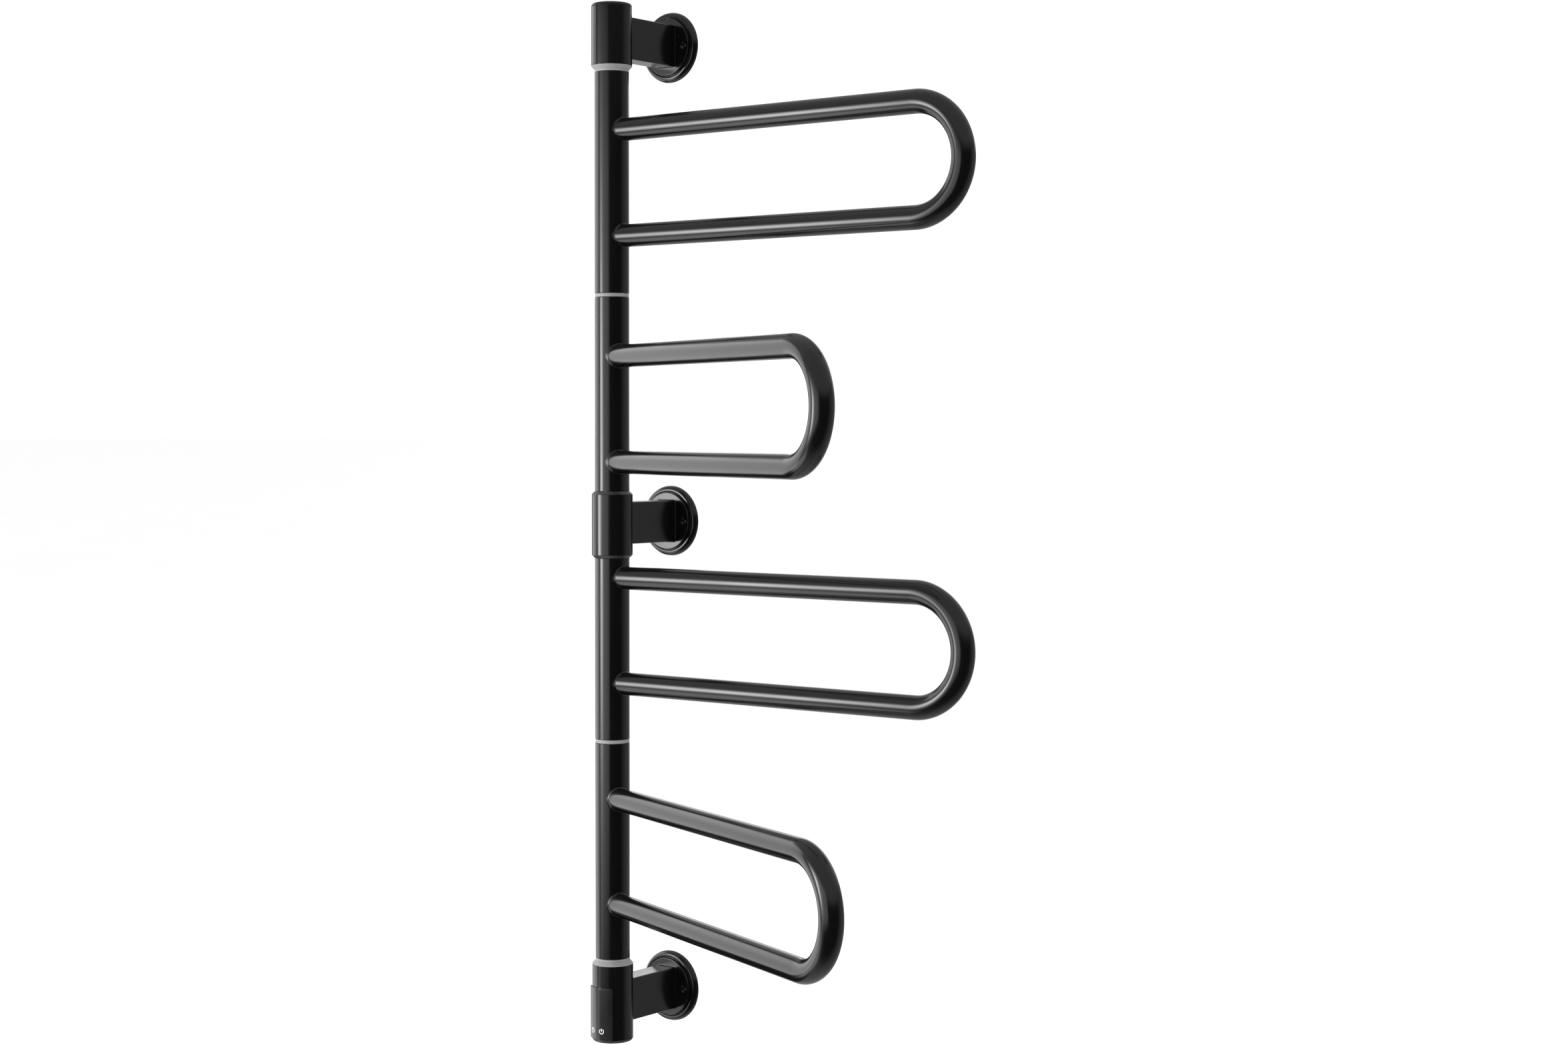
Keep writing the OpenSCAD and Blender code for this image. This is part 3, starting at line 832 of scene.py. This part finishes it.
def add_stroke(bm, centre, points, half=STROKE, closed=False):
    """A stroke with round ends along points, laid on the panel about a centre (along, up)."""
    count = len(points)
    stations = []
    for k, p in enumerate(points):
        before = points[k - 1] if closed or k else p
        after = points[(k + 1) % count] if closed or k < count - 1 else p
        way = (after - before).normalized()
        stations.append((p, way, half))
    if not closed:
        ends = []
        for k in range(1, 5):
            a = math.pi / 2 * k / 4.2
            ends.append((half * math.sin(a), half * math.cos(a)))
        first, last = stations[0], stations[-1]
        stations = ([(first[0] - first[1] * d, first[1], w) for d, w in reversed(ends)] + stations
                    + [(last[0] + last[1] * d, last[1], w) for d, w in ends])
    rings = []
    for p, way, width in stations:
        side = Vector((-way.y, way.x))
        ring = []
        for reach, out in ((1, SYMBOL_IN), (1, SYMBOL_OUT - SYMBOL_BEVEL), (0.85, SYMBOL_OUT),
                           (-0.85, SYMBOL_OUT), (-1, SYMBOL_OUT - SYMBOL_BEVEL),
                           (-1, SYMBOL_IN)):
            spot = Vector(centre) + p + side * width * reach
            ring.append(bm.verts.new(on_housing(spot.x, spot.y, out)))
        rings.append(ring)
    skin(bm, rings, closed)
    if not closed:
        bm.faces.new(rings[0])
        bm.faces.new(rings[-1])


def ring_points(radius, start, end, count=48):
    """Points along a circle, by angles in degrees from straight up."""
    points = []
    for k in range(count):
        a = math.radians(start + (end - start) * k / (count - 1))
        points.append(Vector((math.sin(a), math.cos(a))) * radius)
    return points


def symbol_centre(node, turn):
    """A symbol's middle on the panel as (along, up), at its node's height."""
    low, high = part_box(node)
    return turn * PANEL_FACE_R, (low.z + high.z) / 2


def make_power_symbol():
    """The broken ring and bar of a power key."""
    centre = symbol_centre("power_symbol", POWER_TURN)
    bm = bmesh.new()
    add_stroke(bm, centre, ring_points(SYMBOL_R, 38, 322))
    add_stroke(bm, centre, [Vector((0, SYMBOL_R * f)) for f in (1.08, 0.7, 0.3, 0.0)])
    piece("power_mark", bm, "symbol_white", "wall_frame", "power_symbol")


def make_timer_symbol():
    """The ring and two hands of a timer key."""
    centre = symbol_centre("timer_symbol", TIMER_TURN)
    bm = bmesh.new()
    add_stroke(bm, centre, ring_points(SYMBOL_R, 0, 352.5), TIMER_STROKE, closed=True)
    hands = [(0, 0.62), (0, 0.3), (0, 0.0), (0.25, -0.18), (0.45, -0.32)]
    add_stroke(bm, centre, [Vector(p) * SYMBOL_R for p in hands], TIMER_STROKE * 0.8)
    piece("timer_mark", bm, "symbol_white", "wall_frame", "timer_symbol")


# ---------------------------------------------------------------- arms

BEND_OVAL = 0.03
WELD = 1.5 * MM
WELD_SCALES = 36
WELD_SCALE_RISE = 0.025
WELD_SUNK = 0.3 * MM
BAR_SIDES = 72


def make_segment(arm):
    """The length of the post's tube that turns with an arm."""
    node = f"segment_tube_{arm}"
    low, _, size = span(node)
    outline = rounded([(POST_R, 0, 0.35 * MM), (POST_R, size.z, 0.35 * MM),
                       (POST_BORE_R, size.z, 0.2 * MM), (POST_BORE_R, 0, 0.2 * MM)])
    piece(f"post_segment_{arm}", lathe(outline, on_post(low.z)), "black_metal", f"arm_{arm}", node)


def bar_stations():
    """Centre, outward direction and ovality of each ring along the bent bar, upper leg first."""
    legs, bends = 10, 72
    start = POST_R + 3 * MM
    straight = [start + (LEG_END - start) * k / legs for k in range(legs)]
    stations = [(Vector((x, 0, BEND_R)), Vector((0, 0, 1)), 0.0) for x in straight]
    for k in range(bends + 1):
        a = math.pi / 2 - math.pi * k / bends
        out = Vector((math.cos(a), 0, math.sin(a)))
        ease = min(1.0, 5 * k / bends, 5 * (1 - k / bends))
        stations.append((Vector((LEG_END, 0, 0)) + out * BEND_R, out,
                         BEND_OVAL * ease * ease * (3 - 2 * ease)))
    stations += [(Vector((x, 0, -BEND_R)), Vector((0, 0, -1)), 0.0) for x in reversed(straight)]
    return stations


def bar_surface(bm, place, radius):
    """Rings of one surface of the bar, the first and last coped to the post's tube."""
    turns = [2 * math.pi * k / BAR_SIDES for k in range(BAR_SIDES)]
    stations = bar_stations()

    def coped(level):
        out = 1 if level > 0 else -1
        return [Vector((math.sqrt(POST_R ** 2 - (radius * math.sin(a)) ** 2) - TOUCH,
                        radius * math.sin(a), level + out * radius * math.cos(a))) for a in turns]

    def round_about(centre, out, oval):
        return [centre + out * radius * (1 - oval) * math.cos(a)
                + Vector((0, radius * math.sin(a), 0)) for a in turns]

    loops = [coped(BEND_R)] + [round_about(*s) for s in stations] + [coped(-BEND_R)]
    return [[bm.verts.new(place @ p) for p in loop] for loop in loops]


def make_bar(arm):
    """The bent bar: a hollow tube whose two ends are shaped to the post's tube."""
    place = on_post(middle_height(f"u_bar_{arm}"), rest_turn(arm))
    bm = bmesh.new()
    outer = bar_surface(bm, place, BAR_R)
    inner = bar_surface(bm, place, BAR_R - BAR_WALL)
    skin(bm, outer + inner[::-1], closed=True)
    piece(f"towel_bar_{arm}", bm, "black_metal", f"arm_{arm}", f"u_bar_{arm}")


def make_welds(arm):
    """The fillet weld round each root of a bar, hollow in section, with slight scales."""
    place = on_post(middle_height(f"u_bar_{arm}"), rest_turn(arm))
    around, steps = 144, 6
    bm = bmesh.new()
    for level in (BEND_R, -BEND_R):
        rings = []
        for k in range(around):
            a = 2 * math.pi * k / around
            size = WELD * (1 + WELD_SCALE_RISE * math.cos(WELD_SCALES * a))

            def spot(radius, along=0.0):
                y = radius * math.cos(a)
                return Vector((math.sqrt(POST_R ** 2 - y * y) + along, y,
                               level + radius * math.sin(a)))

            root = spot(BAR_R)
            foot = spot(BAR_R + size)
            top = spot(BAR_R, size)
            pull = root * 0.65 + (foot + top) * 0.175
            ring = []
            for j in range(steps + 1):
                t = j / steps
                ring.append(foot * (1 - t) ** 2 + pull * 2 * t * (1 - t) + top * t * t)
            ring += [spot(BAR_R - WELD_SUNK, size), spot(BAR_R - WELD_SUNK, -WELD_SUNK),
                     spot(BAR_R + size, -WELD_SUNK)]
            rings.append([bm.verts.new(place @ p) for p in ring])
        skin(bm, rings, closed=True)
    piece(f"weld_beads_{arm}", bm, "black_metal", f"arm_{arm}")


# ---------------------------------------------------------------- studio

AIM = Vector((0.1, -0.1, 0.0))
LIGHT_DISTANCE = 2.6


def direction(turn_degrees, rise_degrees=0.0):
    """A direction by its turn from the room's middle (-Y) towards -X, and its rise."""
    turn, rise = math.radians(turn_degrees), math.radians(rise_degrees)
    return Vector((-math.sin(turn) * math.cos(rise), -math.cos(turn) * math.cos(rise),
                   math.sin(rise)))


def maths(tree, operation, one, other=None):
    """A math node on sockets or plain numbers."""
    node = tree.nodes.new("ShaderNodeMath")
    node.operation = operation
    for socket, value in zip(node.inputs, (one, other)):
        if isinstance(value, bpy.types.NodeSocket):
            tree.links.new(value, socket)
        elif value is not None:
            socket.default_value = value
    return node.outputs["Value"]


def smooth_step(tree, value, start, end, low=0.0, high=1.0):
    """Carries a socket from low at start to high at end, with a soft ease at both."""
    node = tree.nodes.new("ShaderNodeMapRange")
    node.interpolation_type = "SMOOTHSTEP"
    for name, number in (("From Min", start), ("From Max", end),
                         ("To Min", low), ("To Max", high)):
        node.inputs[name].default_value = number
    tree.links.new(value, node.inputs["Value"])
    return node.outputs["Result"]


def make_softbox(name, turn, rise, size, radiance, soft, dim_right=1.0):
    """A rectangular light aimed at the rack, given by its brightness.

    soft is how much of its width and height fades out towards the edges, and dim_right is how
    bright its right side is beside its left, for someone behind the light who faces the rack."""
    way = direction(turn, rise)
    data = bpy.data.lights.new(name, "AREA")
    data.shape = "RECTANGLE"
    data.size, data.size_y = size
    data.energy = radiance * math.pi * size[0] * size[1]
    data.use_nodes = True
    tree = data.node_tree
    geometry = tree.nodes.new("ShaderNodeNewGeometry")
    split = tree.nodes.new("ShaderNodeSeparateXYZ")
    tree.links.new(geometry.outputs["Parametric"], split.inputs["Vector"])
    glow = smooth_step(tree, split.outputs["X"], 0.0, 1.0, 1.0, dim_right)
    for axis, fade in zip("XY", soft):
        off_centre = maths(tree, "ABSOLUTE", maths(tree, "SUBTRACT", split.outputs[axis], 0.5))
        glow = maths(tree, "MULTIPLY", glow, smooth_step(tree, off_centre, 0.5, 0.5 - fade / 2))
    tree.links.new(glow, tree.nodes["Emission"].inputs["Strength"])
    light = bpy.data.objects.new(name, data)
    light.location = AIM + way * LIGHT_DISTANCE
    light.rotation_euler = way.to_track_quat("Z", "Y").to_euler()
    light.visible_camera = False
    bpy.context.scene.collection.objects.link(light)


def make_lights():
    """A bright key and three dimmer softboxes, all to the left of the camera's line."""
    make_softbox("key", 37, 0, (1.3, 1.5), 11.5, soft=(0.95, 0.8))
    make_softbox("left_front", 16, 0, (4.2, 2.6), 2.4, soft=(0.3, 0.6), dim_right=0.5)
    make_softbox("left_side", 84, 0, (2.5, 3.3), 2.0, soft=(0.15, 0.15))
    make_softbox("low_left", 54, -36, (2.0, 1.6), 2.0, soft=(0.5, 0.6))


WHITE = 1.15
BEHIND_LEFT, BEHIND_RIGHT = 0.62, 0.36
GAP_TURN, GAP_EDGES, GAP_LEFT_OVER = 88, (50, 46), 0.03
BAND_BOOST = 2.2
ABOVE = 0.58
LEAST = 0.02


def make_world():
    """White for the camera and for soft light; reflections see a graded surround instead.

    It is bright behind the rack, brightest in a band a little above the level, dark in a wide
    patch on the left, evenly lit overhead and dark in front."""
    world = bpy.data.worlds.new("studio")
    bpy.context.scene.world = world
    world.use_nodes = True
    world.cycles.sampling_method = "NONE"
    tree = world.node_tree
    tree.nodes.clear()
    place = tree.nodes.new("ShaderNodeTexCoord").outputs["Generated"]

    def towards(way):
        """The cosine of the angle between a ray and a direction."""
        node = tree.nodes.new("ShaderNodeVectorMath")
        node.operation = "DOT_PRODUCT"
        node.inputs[1].default_value = way
        tree.links.new(place, node.inputs[0])
        return node.outputs["Value"]

    camera_way = math.degrees(-CAMERA_TURN)
    ahead = towards(direction(camera_way + 180))
    to_right = towards(direction(camera_way - 90))
    rise = towards(Vector((0, 0, 1)))
    to_gap = towards(direction(GAP_TURN))
    behind = smooth_step(tree, ahead, -0.6, 0.1)
    side = smooth_step(tree, to_right, 0.0, 0.6, BEHIND_LEFT, BEHIND_RIGHT)
    outer, inner = (math.cos(math.radians(edge)) for edge in GAP_EDGES)
    gap = smooth_step(tree, to_gap, outer, inner, 1.0, GAP_LEFT_OVER)
    above = smooth_step(tree, rise, 0.12, 0.45, 0.0, ABOVE)
    band = maths(tree, "MULTIPLY", smooth_step(tree, rise, 0.1, 0.18),
                 smooth_step(tree, rise, 0.34, 0.25))
    band = maths(tree, "MULTIPLY", band, smooth_step(tree, ahead, 0.5, 0.9))
    boost = maths(tree, "ADD", maths(tree, "MULTIPLY", band, BAND_BOOST), 1.0)
    glow = maths(tree, "MULTIPLY", maths(tree, "MULTIPLY", behind, side), gap)
    glow = maths(tree, "MULTIPLY", glow, boost)
    glow = maths(tree, "MAXIMUM", maths(tree, "MAXIMUM", glow, above), LEAST)
    rays = tree.nodes.new("ShaderNodeLightPath")
    strength = tree.nodes.new("ShaderNodeMix")
    tree.links.new(rays.outputs["Is Glossy Ray"], strength.inputs["Factor"])
    strength.inputs["A"].default_value = WHITE
    tree.links.new(glow, strength.inputs["B"])
    surround = tree.nodes.new("ShaderNodeBackground")
    tree.links.new(strength.outputs["Result"], surround.inputs["Strength"])
    surround.inputs["Color"].default_value = (1, 1, 1, 1)
    output = tree.nodes.new("ShaderNodeOutputWorld")
    tree.links.new(surround.outputs["Background"], output.inputs["Surface"])
    bpy.context.scene.view_settings.view_transform = "Standard"


FLOOR_HALF = 200
FLOOR_DROP = 0.2


def make_floor():
    """A plain pale floor, well below the rack."""
    bm = bmesh.new()
    z = cad_box[0].z - FLOOR_DROP
    bm.faces.new([bm.verts.new((x * FLOOR_HALF, y * FLOOR_HALF, z))
                  for x, y in ((-1, -1), (1, -1), (1, 1), (-1, 1))])
    mesh = bpy.data.meshes.new("floor")
    bm.to_mesh(mesh)
    bm.free()
    n = Nodes("floor_paint")
    n.join(n.tints(n.noise(3, 3), (0.3, grey(0.93)), (0.7, grey(0.95))),
           n.shader.inputs["Base Color"])
    mesh.materials.append(n.finish(Roughness=0.7))
    floor = bpy.data.objects.new("floor", mesh)
    floor.visible_glossy = False
    bpy.context.scene.collection.objects.link(floor)


# ---------------------------------------------------------------- the rack

make_camera()
finish_cad_nodes()
for bracket, grub_side in GRUB_SIDE.items():
    make_flange(bracket)
    make_bracket_arm(bracket, grub_side)
    make_bracket_weld(bracket)
make_collar("collar_shell_top", "collar_top")
make_collar("collar_shell_middle", "collar_middle")
make_collar("housing_shell", "control_housing")
make_caps()
make_cone_ring("grey_ring_top", "top_ring", flip=False)
make_cone_ring("grey_ring_bottom", "bottom_ring", flip=True)
make_end_ring("black_ring_upper", "middle_ring_upper", flip=True)
make_end_ring("black_ring_lower", "middle_ring_lower", flip=False)
make_joint_ring("grey_joint_upper", "upper_joint_ring")
make_joint_ring("grey_joint_lower", "lower_joint_ring")
make_panel()
make_power_symbol()
make_timer_symbol()
for number in ARMS:
    make_segment(number)
    make_bar(number)
    make_welds(number)
make_world()
make_lights()
make_floor()
